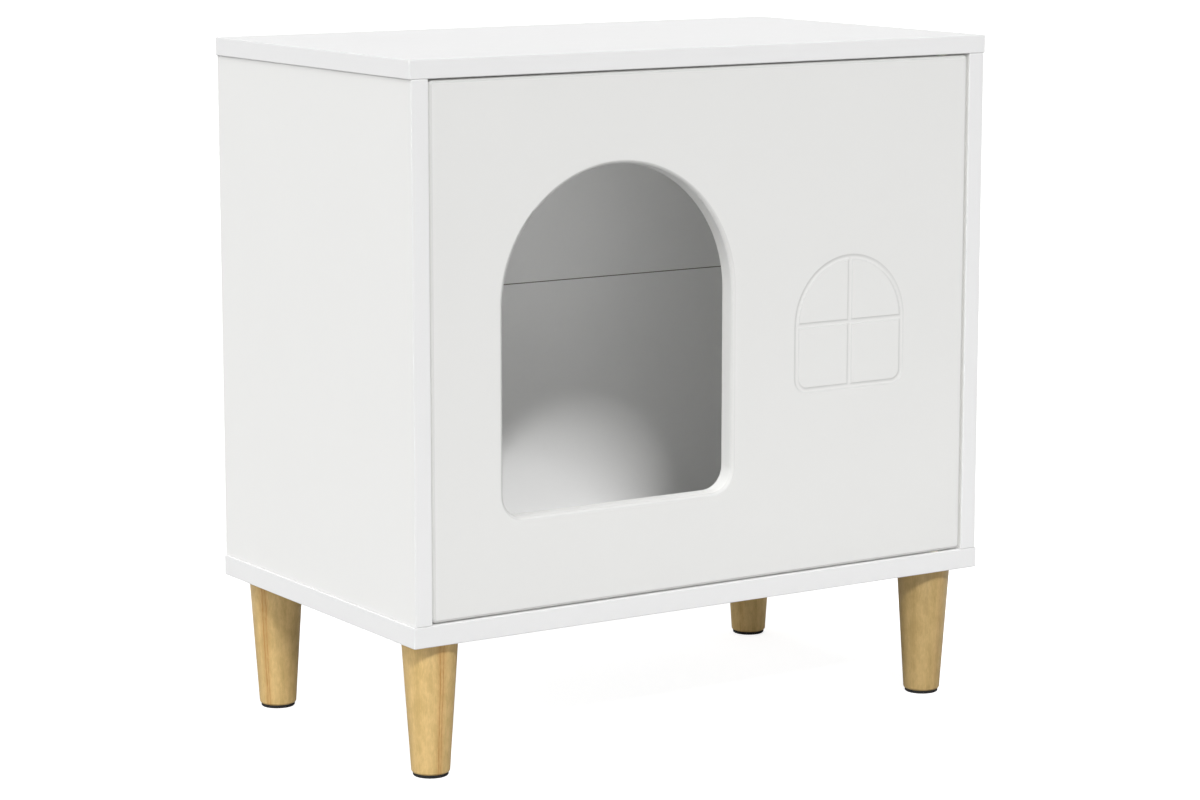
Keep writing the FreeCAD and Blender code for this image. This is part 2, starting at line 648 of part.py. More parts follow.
# Door pivots: a pin in the door's lower and upper edge, and the bush in the panel that it turns in.
pin_radius = "Sizes.pin_diameter / 2"
flange_height = "Sizes.door_gap - Sizes.flange_play"
pivot_places = []
for level, height, turn in (("lower", "Layout.floor_z", UP), ("upper", "Layout.ceiling_z", DOWN)):
    at = ("Layout.pivot_x", "Layout.pivot_y", height)
    pivot_places.append((at, turn))
    pin = turned(f"{level}_pin_turned", round_bar(pin_radius, "-Sizes.pin_in_bush", "Layout.pin_high"))
    node(place(pin, at, turn), f"{level}_pivot_pin")
    bush = turned(f"{level}_bush_turned", (
        (f"{pin_radius} + Sizes.pin_running_fit", "-Sizes.bush_length"),
        ("Sizes.bush_diameter / 2", "-Sizes.bush_length"),
        ("Sizes.bush_diameter / 2", "0"),
        ("Sizes.bush_flange_diameter / 2", "0"),
        ("Sizes.bush_flange_diameter / 2", flange_height),
        (f"{pin_radius} + Sizes.pin_running_fit", flange_height),
    ))
    node(place(bush, at, turn), f"{level}_pivot_bush")
bush_bore = turned("bush_bore", plain_bar(
    "Sizes.bush_diameter / 2 + Sizes.fastener_fit", "-Sizes.bush_length - Sizes.bore_room", "0",
))
bush_bores = copies("bush_bores", bush_bore, pivot_places)
pin_bore = turned("pin_bore", plain_bar(
    f"{pin_radius} + Sizes.fastener_fit", "0", "Layout.pin_high + Sizes.bore_room",
))
pin_bores = copies("pin_bores", pin_bore, pivot_places)

# Magnetic catch under the top panel, near the door's free edge.
catch_body = doc.addObject("PartDesign::Body", "catch_body")
catch_outline = sketch_on(catch_body, "catch_outline", "XZ_Plane")
polygon(catch_outline, (
    ("-Layout.catch_lug_x", "0"),
    ("-Layout.catch_lug_x", "-Sizes.catch_lug_thickness"),
    ("-Layout.catch_half_width", "-Sizes.catch_lug_thickness"),
    ("-Layout.catch_half_width", "-Sizes.catch_height"),
    ("Layout.catch_half_width", "-Sizes.catch_height"),
    ("Layout.catch_half_width", "-Sizes.catch_lug_thickness"),
    ("Layout.catch_lug_x", "-Sizes.catch_lug_thickness"),
    ("Layout.catch_lug_x", "0"),
))
catch_pad = padded_up(catch_body, catch_outline, "Sizes.catch_depth")
catch_rims = edges_where(catch_pad, lambda edge: edge.BoundBox.ZMax < -TOLERANCE)
rounded(catch_body, catch_pad, catch_rims, "Sizes.catch_edge_radius")
place(catch_body, ("Layout.catch_x", "Layout.catch_back_y", "Layout.ceiling_z"))
catch_well = block(
    "catch_well",
    (
        "Layout.catch_x - Layout.stack_half_width - Sizes.catch_stack_room",
        f"Layout.catch_front_y - {OVERSHOOT}",
        "Layout.stack_low_z - Sizes.catch_stack_room",
    ),
    (
        "Layout.catch_x + Layout.stack_half_width + Sizes.catch_stack_room",
        "Layout.stack_back_y + Sizes.catch_stack_room",
        "Layout.stack_high_z + Sizes.catch_stack_room",
    ),
)
catch_screw_places = []
for _, side in SIDES:
    screw_x = f"Layout.catch_x + {side} * Layout.catch_screw_x"
    seat_z = "Layout.ceiling_z - Sizes.catch_lug_thickness"
    catch_screw_places.append(((screw_x, "Layout.catch_middle_y", seat_z), UP))
catch_screw_radius = "Sizes.catch_screw_diameter / 2"
catch_screw_tip = "Sizes.catch_lug_thickness + Sizes.catch_screw_in_panel"
catch_screw_blank = turned("catch_screw_blank", (
    ("0", "-Sizes.catch_screw_head_height"),
    ("Sizes.catch_screw_head / 4", "-Sizes.catch_screw_head_height"),
    ("Sizes.catch_screw_head / 2", "-Sizes.catch_screw_head_height / 3"),
    ("Sizes.catch_screw_head / 2", "0"),
    (catch_screw_radius, "0"),
    (catch_screw_radius, f"{catch_screw_tip} - Sizes.catch_screw_diameter"),
    ("0", catch_screw_tip),
))
catch_screw = cross_recess("catch_screw", catch_screw_blank, "-Sizes.catch_screw_head_height")
catch_screw_bore = turned("catch_screw_bore", plain_bar(
    f"{catch_screw_radius} + Sizes.fastener_fit", f"-{OVERSHOOT}", f"{catch_screw_tip} + Sizes.bore_room",
))
node(copies("catch_screw_pair", catch_screw, catch_screw_places), "catch_screws")
catch_screw_bores = copies("catch_screw_bores", catch_screw_bore, catch_screw_places)
node(cut("catch_housing", catch_body, catch_well, catch_screw_bores), "magnetic_catch_housing")
stack_left = "Layout.catch_x - Layout.stack_half_width"
stack_right = "Layout.catch_x + Layout.stack_half_width"
magnet = block(
    "magnet",
    (stack_left, "Layout.catch_front_y + Sizes.magnet_setback", "Layout.magnet_low_z"),
    (stack_right, "Layout.stack_back_y", "Layout.magnet_high_z"),
)
node(magnet, "catch_magnet")
poles = doc.addObject("Part::Compound", "poles")
poles.Links = [
    block(
        f"{name}_pole",
        (stack_left, "Layout.pole_front_y", low),
        (stack_right, "Layout.stack_back_y", high),
    )
    for name, low, high in (
        ("lower", "Layout.stack_low_z", "Layout.magnet_low_z"),
        ("upper", "Layout.magnet_high_z", "Layout.stack_high_z"),
    )
]
node(poles, "catch_pole_plates")

# Strike plate and its screws on the door's inner face.
strike_blank = board(
    "strike_blank",
    ("Sizes.strike_width", "Sizes.strike_thickness", "Sizes.strike_height"),
    ("Layout.catch_x", "Layout.door_back_y + Sizes.strike_thickness / 2", "Layout.strike_z"),
    "Sizes.strike_edge_radius",
)
strike_screw_places = []
for _, side in SIDES:
    screw_x = f"Layout.catch_x + {side} * Sizes.strike_screw_spacing / 2"
    strike_screw_places.append(((screw_x, "Layout.strike_back_y", "Layout.strike_z"), TO_FRONT))
strike_screw_blank = turned("strike_screw_blank", countersunk(
    "Sizes.strike_screw_head",
    "Sizes.strike_thickness",
    "Sizes.strike_screw_diameter",
    "Sizes.strike_screw_length",
))
strike_screw = cross_recess("strike_screw", strike_screw_blank, "0")
strike_screw_bore = turned("strike_screw_bore", countersunk(
    "(Sizes.strike_screw_head + 2 * Sizes.fastener_fit)",
    "Sizes.strike_thickness",
    "(Sizes.strike_screw_diameter + 2 * Sizes.fastener_fit)",
    "(Sizes.strike_screw_length + Sizes.bore_room)",
))
node(copies("strike_screw_pair", strike_screw, strike_screw_places), "strike_plate_screws")
strike_screw_bores = copies("strike_screw_bores", strike_screw_bore, strike_screw_places)
node(cut("strike", strike_blank, strike_screw_bores), "door_strike_plate")

# Carcass boards. One recess at the back is shared by the four boards round it.
back_recess = block(
    "back_recess",
    ("-Layout.rebate_x", "Layout.back_front_y", "Layout.rebate_low_z"),
    ("Layout.rebate_x", f"Layout.half_depth + {OVERSHOOT}", "Layout.rebate_high_z"),
)
top_blank = board(
    "top_blank",
    ("Sizes.overall_width", "Sizes.overall_depth", "Sizes.top_thickness"),
    ("0", "0", "Sizes.overall_height - Sizes.top_thickness / 2"),
    "Sizes.panel_edge_radius",
)
top_tools = (back_recess, dowel_bores, bolt_bores, back_screw_bores, bush_bores, catch_screw_bores)
node(cut("top", top_blank, *top_tools), "top_panel")
bottom_blank = board(
    "bottom_blank",
    ("Sizes.overall_width", "Sizes.overall_depth", "Sizes.bottom_thickness"),
    ("0", "0", "Layout.carcass_low_z + Sizes.bottom_thickness / 2"),
    "Sizes.panel_edge_radius",
)
bottom_tools = (back_recess, dowel_bores, bolt_bores, back_screw_bores, bush_bores, insert_bores)
node(cut("bottom", bottom_blank, *bottom_tools), "bottom_panel")
for side_name, side in SIDES:
    side_blank = board(
        f"{side_name}_side_blank",
        ("Sizes.side_thickness", "Sizes.overall_depth", "Layout.side_height"),
        (f"{side} * Layout.side_x", "0", "Layout.middle_z"),
        "Sizes.panel_edge_radius",
    )
    side_tools = (back_recess, dowel_bores, bolt_bores, cam_bores, back_screw_bores)
    node(cut(f"{side_name}_side", side_blank, *side_tools), f"{side_name}_side_panel")
for level, rise in (("upper", 1), ("lower", -1)):
    back_blank = board(
        f"{level}_back_blank",
        ("2 * (Layout.rebate_x - Sizes.back_fit)", "Sizes.back_thickness", "Layout.back_board_height"),
        ("0", "Layout.back_middle_y", f"Layout.middle_z + {rise} * Layout.back_board_rise"),
        "Sizes.back_edge_radius",
    )
    node(cut(f"{level}_back", back_blank, back_screw_bores), f"back_panel_{level}")

# Door: padded from its outline with the doorway left open, front arrises rounded.
door_body = doc.addObject("PartDesign::Body", "door_body")
door_outline = sketch_on(door_body, "door_outline", "XZ_Plane", "-Layout.door_back_y")
rounded_outline(
    door_outline,
    ("-Layout.door_half_width", "Layout.door_low_z"),
    ("Layout.door_half_width", "Layout.door_high_z"),
    "Sizes.door_corner_radius",
)
rounded_outline(
    door_outline,
    ("Layout.arch_left_x", "Layout.arch_low_z"),
    ("Layout.arch_right_x", "Layout.arch_high_z"),
    "Sizes.arch_corner_radius",
    arched=True,
)
door_pad = padded_up(door_body, door_outline, "Sizes.door_thickness")
face_y = number("Layout.door_front_y")
arch_left, arch_right = number("Layout.arch_left_x"), number("Layout.arch_right_x")
arch_low, arch_high = number("Layout.arch_low_z"), number("Layout.arch_high_z")


def on_face(edge):
    """An edge that lies in the door's front face."""
    box = edge.BoundBox
    return abs(box.YMin - face_y) < TOLERANCE and abs(box.YMax - face_y) < TOLERANCE


def round_the_arch(edge):
    """An edge of the doorway in the door's front face."""
    middle = edge.BoundBox.Center
    across = arch_left - TOLERANCE < middle.x < arch_right + TOLERANCE
    upward = arch_low - TOLERANCE < middle.z < arch_high + TOLERANCE
    return on_face(edge) and across and upward


def round_the_door(edge):
    """An edge of the door's own outline in its front face."""
    return on_face(edge) and not round_the_arch(edge)


door_round = rounded(door_body, door_pad, edges_where(door_pad, round_the_door), "Sizes.door_edge_radius")
rounded(door_body, door_round, edges_where(door_round, round_the_arch), "Sizes.arch_edge_radius")

# Window motif: a groove of round section, cut by bars and ring parts whose axis lies in front of
# the door's face.
groove_parts = []
for side_name, side in SIDES:
    jamb_x = f"Sizes.window_offset + {side} * Layout.window_radius"
    jamb_at = (jamb_x, "Layout.groove_axis_y", "Layout.window_corner_z")
    jamb_length = "Layout.window_spring_z - Layout.window_corner_z"
    groove_parts.append(rod(f"{side_name}_jamb_groove", "Layout.groove_radius", jamb_length, jamb_at, UP))
    corner_at = (
        f"Sizes.window_offset + {side} * Layout.window_corner_x",
        "Layout.groove_axis_y",
        "Layout.window_corner_z",
    )
    corner_turn = TO_FRONT.multiply(Rotation(Vector(0, 0, 1), 180 if side < 0 else -90))
    groove_parts.append(ring_part(
        f"{side_name}_corner_groove",
        "Sizes.window_corner_radius",
        "Layout.groove_radius",
        corner_at,
        corner_turn,
        90,
    ))
groove_parts.append(ring_part(
    "crown_groove",
    "Layout.window_radius",
    "Layout.groove_radius",
    ("Sizes.window_offset", "Layout.groove_axis_y", "Layout.window_spring_z"),
    TO_FRONT,
    180,
))
groove_parts.append(rod(
    "sill_groove",
    "Layout.groove_radius",
    "2 * Layout.window_corner_x",
    ("Sizes.window_offset - Layout.window_corner_x", "Layout.groove_axis_y", "Layout.window_low_z"),
    TO_RIGHT,
))
groove_parts.append(rod(
    "cross_groove",
    "Layout.groove_radius",
    "Sizes.window_width",
    ("Sizes.window_offset - Layout.window_radius", "Layout.groove_axis_y", "Layout.window_spring_z"),
    TO_RIGHT,
))
groove_parts.append(rod(
    "upright_groove",
    "Layout.groove_radius",
    "Sizes.window_height",
    ("Sizes.window_offset", "Layout.groove_axis_y", "Layout.window_low_z"),
    UP,
))
window_groove = fuse("window_groove", groove_parts)
node(cut("door", door_body, window_groove, pin_bores, strike_screw_bores), "door_panel")

doc.recompute()
for thing in doc.Objects:
    if "Invalid" in thing.State or "Error" in thing.State:
        raise RuntimeError(f"{thing.Label} failed: {thing.State}")
os.makedirs("parts", exist_ok=True)
for piece in nodes:
    if piece.Shape.isNull() or not piece.Shape.isValid():
        raise RuntimeError(f"{piece.Label} has no valid shape")
for piece in nodes:
    piece.Shape.exportStep(f"parts/{piece.Label}.step")
    print(f"{piece.Label}: {len(piece.Shape.Solids)} solids, {piece.Shape.Volume:.0f} mm3")
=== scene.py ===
import bpy
import json
import math
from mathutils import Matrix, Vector

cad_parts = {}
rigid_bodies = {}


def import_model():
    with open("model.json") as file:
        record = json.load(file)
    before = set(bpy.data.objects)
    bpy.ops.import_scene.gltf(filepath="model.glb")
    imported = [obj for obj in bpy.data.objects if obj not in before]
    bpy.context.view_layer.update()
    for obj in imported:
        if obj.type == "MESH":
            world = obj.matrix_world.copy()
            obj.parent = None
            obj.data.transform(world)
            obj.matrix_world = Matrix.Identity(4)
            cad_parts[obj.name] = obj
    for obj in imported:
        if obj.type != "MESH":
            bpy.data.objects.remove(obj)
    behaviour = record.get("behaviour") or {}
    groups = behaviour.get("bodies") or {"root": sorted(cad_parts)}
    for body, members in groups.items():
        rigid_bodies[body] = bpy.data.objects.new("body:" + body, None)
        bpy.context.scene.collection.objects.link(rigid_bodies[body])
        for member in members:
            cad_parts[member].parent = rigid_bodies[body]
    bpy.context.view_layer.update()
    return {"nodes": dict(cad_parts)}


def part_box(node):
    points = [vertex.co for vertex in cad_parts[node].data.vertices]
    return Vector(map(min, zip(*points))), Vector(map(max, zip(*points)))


# Cat house: a white cabinet on four turned pine legs, with one inset door. Every shape comes from
# the frame, in metres. This script gives each piece its finish, and adds the light and the camera.

for leftover in list(bpy.data.objects):
    bpy.data.objects.remove(leftover)
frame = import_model()
nodes = frame["nodes"]

# The photograph's view: the place of the camera, its two angles in degrees, and its focal length in
# pixels of an image 1200 pixels wide.
CAMERA_PLACE = Vector((-1.6618, -2.5630, 0.7915))
CAMERA_AZIMUTH = -32.92
CAMERA_TILT = 9.61
FOCAL_PIXELS = 3451.9
IMAGE_WIDTH = 1200

# Key light: a slanted strip of lamps. Its middle's direction, its slant, the lamps' places along it,
# and each lamp's strength and apparent width. Angles are in degrees.
KEY_AZIMUTH = -22.3
KEY_ELEVATION = 38.5
KEY_SLANT = 43
KEY_STEPS = (-5.3, -2.65, 0, 2.65, 5.3)
KEY_STRENGTH = 0.35
KEY_WIDTH = 2.8

# Surrounding light: its least, how much brighter it is below, how far below the horizon it takes to
# get there, and its glows. A glow has an azimuth, an elevation, a strength and a sharpness.
SKY_LEAST = 0.01
GROUND_LIGHT = 0.04
HORIZON_BLUR = 0.08
GLOWS = (
    (-20, 75, 4.5, 30),    # from above, for the top and the sill
    (-20, -5, 1.13, 15),   # through the doorway, for the back wall
    (-22, -18, 1.85, 20),
    (-90, 25, 0.64, 4),    # from the left, for the side and the doorway's jamb
    (-80, 32, 3.42, 20),
    (-140, 5, 0.6, 3),
    (65, 8, 0.55, 6),      # from the right
    (95, -5, 0.7, 10),
    (140, 10, 0.6, 3),
    (180, -5, 0.7, 10),    # from behind
)
LIGHT_BOUNCES = 14

# Floor: half its width, half the width of the sheet under it that throws light up, how far they
# lie under the feet, and how much the floor shines by itself.
FLOOR_HALF_WIDTH = 40
BOUNCE_HALF_WIDTH = 0.45
FLOOR_DROP = 0.0003
FLOOR_SHINE = 0.82

# Legs: the lower radius as a share of the upper, and for each leg where its brown streak runs
# round it in degrees, how strong the streak is, and how light the wood is. That lightness is partly
# the wood's own tone and partly painted light: the rear right leg, in shade, is made lighter, and
# the front right leg, which gets less light, darker.
LEG_TAPER = 32.5 / 48
LEG_WOOD = {
    "front_left": (-4, 1.0, 1.03),
    "front_right": (10, 0.25, 0.79),
    "rear_left": (-58, 1.0, 0.98),
    "rear_right": (-60, 0.3, 1.2),
}

# The streak, in radii of the leg: how far it wavers, the place and width of each of its lines, and
# the place and edges of the halo round them. The halo's strength is a share of the lines'.
STREAK_WAVER = 0.24
STREAK_LINES = ((0.06, 0.05), (0.2, 0.035))
HALO_PLACE = 0.12
HALO_EDGES = (0.05, 0.3)
HALO_STRENGTH = 0.4

# Colours: a surface wanders between the two of its pair. The uprights' faces hold a little less blue.
MELAMINE_FACE = ((0.847, 0.847, 0.847), (0.872, 0.872, 0.872))
MELAMINE_BAND = ((0.837, 0.837, 0.837), (0.862, 0.862, 0.862))
# The arris pair is painted shade: a greyer tone that dims the highlights along the rounded arrises.
MELAMINE_PAINTED_ARRIS_SHADE = ((0.74, 0.74, 0.74), (0.765, 0.765, 0.765))
LEVEL_BLUE = 1.0
UPRIGHT_BLUE = 0.984
BACK_PAINT = ((0.885, 0.885, 0.883), (0.91, 0.91, 0.908))
RAW_FIBRE = ((0.10, 0.08, 0.06), (0.2, 0.165, 0.125))
FOIL_FLAT = ((0.795, 0.795, 0.781), (0.82, 0.82, 0.806))
# The slope pair is painted shade: greyer on the grooves' sides and on the rounded arrises.
FOIL_PAINTED_SLOPE_SHADE = ((0.69, 0.69, 0.678), (0.715, 0.715, 0.703))
# The edge pair is painted light: whiter on the square edges, such as the doorway's jamb and sill.
FOIL_PAINTED_EDGE_LIGHT = ((0.9, 0.9, 0.885), (0.925, 0.925, 0.91))
PINE_WOOD = ((0.58, 0.395, 0.145), (0.80, 0.56, 0.24))
PINE_STREAK = (0.50, 0.235, 0.06)
BEECH_WOOD = ((0.42, 0.24, 0.12), (0.64, 0.42, 0.24))
BLACK_FOAM = ((0.008, 0.008, 0.009), (0.026, 0.026, 0.027))
PLATED_STEEL = ((0.50, 0.51, 0.53), (0.68, 0.69, 0.71))
CAST_ZINC = ((0.34, 0.35, 0.36), (0.48, 0.49, 0.50))
WHITE_PLASTIC = ((0.74, 0.74, 0.73), (0.78, 0.78, 0.77))
NATURAL_NYLON = ((0.70, 0.67, 0.57), (0.76, 0.73, 0.63))
DARK_FERRITE = ((0.02, 0.02, 0.022), (0.06, 0.06, 0.063))
FLOOR_GREY = ((0.58, 0.58, 0.58), (0.62, 0.62, 0.62))
BOUNCE_GREY = ((0.33, 0.33, 0.33), (0.37, 0.37, 0.37))

# The range that soft noise mostly keeps to.
NOISE_LOW = 0.25
NOISE_HIGH = 0.75


def towards(azimuth, elevation):
    """A direction from two angles in degrees. Azimuth 0 is the front."""
    turn, rise = math.radians(azimuth), math.radians(elevation)
    return Vector((math.sin(turn) * math.cos(rise), -math.cos(turn) * math.cos(rise), math.sin(rise)))


def add(tree, kind, inputs=None, **settings):
    """Add a node to a tree. An input takes a value, or the output of another node."""
    made = tree.nodes.new(kind)
    for name, value in settings.items():
        setattr(made, name, value)
    for name, value in (inputs or {}).items():
        if isinstance(value, bpy.types.NodeSocket):
            tree.links.new(value, made.inputs[name])
        else:
            made.inputs[name].default_value = value
    return made


def new_finish(name):
    """A material with its node tree, its shader and the place on the piece in metres."""
    material = bpy.data.materials.new(name)
    material.use_nodes = True
    tree = material.node_tree
    shader = tree.nodes["Principled BSDF"]
    where = add(tree, "ShaderNodeTexCoord").outputs["Object"]
    return material, tree, shader, where


def constants(shader, **values):
    """Set values that are the same all over the surface on the shader itself."""
    for name, value in values.items():
        shader.inputs[name.replace("_", " ")].default_value = value


def stretched(tree, where, scale):
    """The same place in a space that is scaled along each axis."""
    return add(tree, "ShaderNodeMapping", {"Vector": where, "Scale": scale}).outputs["Vector"]


def noise(tree, where, scale, detail=3, roughness=0.55):
    """Soft noise from 0 to 1. The scale counts its cells in a metre."""
    inputs = {"Vector": where, "Scale": scale, "Detail": detail, "Roughness": roughness}
    return add(tree, "ShaderNodeTexNoise", inputs).outputs["Fac"]


def calculate(tree, operation, *values):
    """One step of arithmetic on numbers."""
    return add(tree, "ShaderNodeMath", dict(enumerate(values)), operation=operation).outputs[0]


def ranged(tree, value, start, end, low, high):
    """A smooth step: low up to start, high from end."""
    inputs = {"Value": value, "From Min": start, "From Max": end, "To Min": low, "To Max": high}
    return add(tree, "ShaderNodeMapRange", inputs, interpolation_type="SMOOTHSTEP").outputs["Result"]


def step(tree, value, start, end):
    """A smooth step from 0 to 1."""
    return ranged(tree, value, start, end, low=0, high=1)


def sloped(tree, value, start, end, low, high):
    """A straight slope between two values."""
    inputs = {"Value": value, "From Min": start, "From Max": end, "To Min": low, "To Max": high}
    return add(tree, "ShaderNodeMapRange", inputs).outputs["Result"]


def blended(tree, first, second, share):
    """A number between two numbers. The share is the first one's."""
    rest = calculate(tree, "MULTIPLY", second, 1 - share)
    return calculate(tree, "MULTIPLY_ADD", first, share, rest)


def apart(tree, value, place):
    """How far a value lies from a place."""
    return calculate(tree, "ABSOLUTE", calculate(tree, "SUBTRACT", value, place))


def facing(tree):
    """How squarely the surface faces along X, Y and Z, each from 0 to 1."""
    normal = add(tree, "ShaderNodeTexCoord").outputs["Normal"]
    size = add(tree, "ShaderNodeVectorMath", {0: normal}, operation="ABSOLUTE").outputs["Vector"]
    return add(tree, "ShaderNodeSeparateXYZ", {"Vector": size}).outputs


def mixed(tree, share, first, second):
    """A colour between two colours."""
    inputs = {0: share, 6: first, 7: second}
    return add(tree, "ShaderNodeMix", inputs, data_type="RGBA").outputs[2]


def wandering(tree, share, colours):
    """A colour that wanders between the two of a pair."""
    first, second = ((*colour, 1) for colour in colours)
    return mixed(tree, share, first, second)


def coloured(tree, shader, colour):
    """Give the shader a colour."""
    tree.links.new(colour, shader.inputs["Base Color"])


def gloss(tree, shader, share, low, high):
    """Give the shader a roughness that wanders between two values."""
    roughness = ranged(tree, share, NOISE_LOW, NOISE_HIGH, low, high)
    tree.links.new(roughness, shader.inputs["Roughness"])


def relief(tree, shader, height, depth):
    """Give the shader a fine relief of a depth in metres."""
    bump = add(tree, "ShaderNodeBump", {"Height": height, "Distance": depth, "Strength": 1.0})
    tree.links.new(bump.outputs["Normal"], shader.inputs["Normal"])


def dress(material, *names):
    """Put a finish on nodes of the frame."""
    for name in names:
        for slot in nodes[name].material_slots:
            slot.material = material


def white_board(name, axis, face_blue):
    """White melamine with a fine pearl texture. The faces across one axis may hold less blue than
    the edge bands round them, and the arrises are painted a little greyer: painted shade that dims their
    highlights."""
    material, tree, shader, where = new_finish(name)
    pearl = noise(tree, where, scale=900, detail=2)
    share = blended(tree, pearl, noise(tree, where, scale=9), share=0.4)
    face = wandering(tree, share, [(red, green, blue * face_blue) for red, green, blue in MELAMINE_FACE])
    band = wandering(tree, share, MELAMINE_BAND)
    # Painted shade: the rounded arrises, where no axis is faced squarely, take a greyer colour.
    painted_arris_shade = wandering(tree, share, MELAMINE_PAINTED_ARRIS_SHADE)
    across = facing(tree)
    flat = mixed(tree, step(tree, across[axis], start=0.8, end=0.95), band, face)
    largest = calculate(tree, "MAXIMUM", across["X"], across["Y"])
    largest = calculate(tree, "MAXIMUM", largest, across["Z"])
    coloured(tree, shader, mixed(tree, step(tree, largest, start=0.9, end=0.99), painted_arris_shade, flat))
    gloss(tree, shader, noise(tree, where, scale=60), low=0.5, high=0.62)
    relief(tree, shader, pearl, depth=0.00006)
    constants(shader, Specular_IOR_Level=0.25)
    return material


def back_board():
    """Thin fibreboard: painted white faces, raw brown edges."""
    material, tree, shader, where = new_finish("painted_fibreboard")
    rolled = noise(tree, stretched(tree, where, (0.15, 1, 1)), scale=700, detail=2)
    share = blended(tree, rolled, noise(tree, where, scale=12), share=0.5)
    paint = wandering(tree, share, BACK_PAINT)
    raw = wandering(tree, noise(tree, where, scale=1500), RAW_FIBRE)
    painted = step(tree, facing(tree)["Y"], start=0.86, end=0.97)
    coloured(tree, shader, mixed(tree, painted, raw, paint))
    gloss(tree, shader, noise(tree, where, scale=45), low=0.5, high=0.65)
    relief(tree, shader, rolled, depth=0.00008)
    return material


def door_foil():
    """Satin foil over milled fibreboard, with painted shade and painted light: greyer on sloping cuts,
    where it stands in for the grooves' shade and dims the rounded arrises, and whiter on the square
    edges, which lifts the shaded jamb and sill of the doorway."""
    material, tree, shader, where = new_finish("satin_foil")
    peel = noise(tree, where, scale=420, detail=2)
    share = blended(tree, peel, noise(tree, where, scale=7), share=0.3)
    # Painted shade and painted light: sloping cuts are greyer and square edges whiter than the flat
    # face.
    flat, painted_slope_shade, edge = (wandering(tree, share, pair) for pair in (FOIL_FLAT, FOIL_PAINTED_SLOPE_SHADE, FOIL_PAINTED_EDGE_LIGHT))
    across = facing(tree)["Y"]
    cut = mixed(tree, step(tree, across, start=0.1, end=0.5), edge, painted_slope_shade)
    coloured(tree, shader, mixed(tree, step(tree, across, start=0.975, end=0.999), cut, flat))
    gloss(tree, shader, noise(tree, where, scale=35), low=0.5, high=0.6)
    relief(tree, shader, peel, depth=0.00004)
    constants(shader, Specular_IOR_Level=0.2)
    return material


def grain_space(tree, where, low, high):
    """A place in a tapered leg: across in radii from its axis, and up in metres."""
    middle = (low + high) / 2
    top_radius = (high.x - low.x) / 2
    split = add(tree, "ShaderNodeSeparateXYZ", {"Vector": where})
    height = split.outputs["Z"]
    radius = sloped(tree, height, low.z, high.z, LEG_TAPER * top_radius, top_radius)
    across = {"Z": height}
    for axis in "XY":
        offset = calculate(tree, "SUBTRACT", split.outputs[axis], getattr(middle, axis.lower()))
        across[axis] = calculate(tree, "DIVIDE", offset, radius)
    return add(tree, "ShaderNodeCombineXYZ", across).outputs["Vector"]


def along(tree, vector, axis):
    """How far a vector reaches along an axis."""
    inputs = {0: vector, 1: axis}
    return add(tree, "ShaderNodeVectorMath", inputs, operation="DOT_PRODUCT").outputs["Value"]


def brown_streak(tree, grain, angle, wander):
    """Thin wavering lines in a soft halo that run up a leg on one side, from 0 to 1."""
    side = towards(angle, 0)
    beside = Vector((-side.y, side.x, 0))
    wavering = calculate(tree, "MULTIPLY_ADD", wander, STREAK_WAVER, along(tree, grain, beside))
    streak = ranged(tree, apart(tree, wavering, HALO_PLACE), *HALO_EDGES, low=HALO_STRENGTH, high=0)
    for place, width in STREAK_LINES:
        line = ranged(tree, apart(tree, wavering, place), width / 4, width, low=1, high=0)
        streak = calculate(tree, "MAXIMUM", streak, line)
    near_side = step(tree, along(tree, grain, side), start=0.1, end=0.4)
    return calculate(tree, "MULTIPLY", streak, near_side)


def pine(name, low, high, streak_angle, streak_share, tone_and_painted_light):
    """Lacquered pine, turned to a taper. The grain runs up the leg and follows its taper."""
    material, tree, shader, where = new_finish(name)
    grain = grain_space(tree, where, low, high)
    wander = noise(tree, stretched(tree, grain, (1, 1, 14)), scale=1.1)
    mottle = noise(tree, stretched(tree, grain, (1, 1, 30)), scale=2.4, detail=5, roughness=0.68)
    bands = noise(tree, stretched(tree, grain, (1, 1, 2.5)), scale=3.2)
    fibre = noise(tree, stretched(tree, grain, (1, 1, 7)), scale=24, detail=4, roughness=0.65)
    share = blended(tree, fibre, blended(tree, bands, mottle, share=0.45), share=0.3)
    # Partly painted light: the lightness scales the wood per leg, lighter for the leg that stands in
    # shade.
    tones = [[tone_and_painted_light * part for part in colour] for colour in PINE_WOOD]
    wood = wandering(tree, step(tree, share, start=0.35, end=0.65), tones)
    broken = ranged(tree, fibre, 0.35, 0.65, low=0.95 * streak_share, high=0.6 * streak_share)
    streak = calculate(tree, "MULTIPLY", brown_streak(tree, grain, streak_angle, wander), broken)
    brown = (*(tone_and_painted_light * part for part in PINE_STREAK), 1)
    coloured(tree, shader, mixed(tree, streak, wood, brown))
    gloss(tree, shader, fibre, low=0.55, high=0.42)
    relief(tree, shader, fibre, depth=0.0001)
    constants(shader, Coat_Weight=0.12, Coat_Roughness=0.3)
    return material


def foam_rubber():
    """Black foam rubber with open pores."""
    material, tree, shader, where = new_finish("black_foam_rubber")
    pores = add(tree, "ShaderNodeTexVoronoi", {"Vector": where, "Scale": 1400}).outputs["Distance"]
    coloured(tree, shader, wandering(tree, pores, BLACK_FOAM))
    gloss(tree, shader, noise(tree, where, scale=300), low=0.8, high=0.95)
    relief(tree, shader, pores, depth=0.0002)
    return material


def metal(name, colours, low, high, grain):
    """Plated or cast metal with fine grain and faint stains."""
    material, tree, shader, where = new_finish(name)
    fine = noise(tree, where, grain, detail=4)
    coloured(tree, shader, wandering(tree, noise(tree, where, scale=180), colours))
    gloss(tree, shader, fine, low, high)
    relief(tree, shader, fine, depth=0.00003)
    constants(shader, Metallic=1.0)
    return material


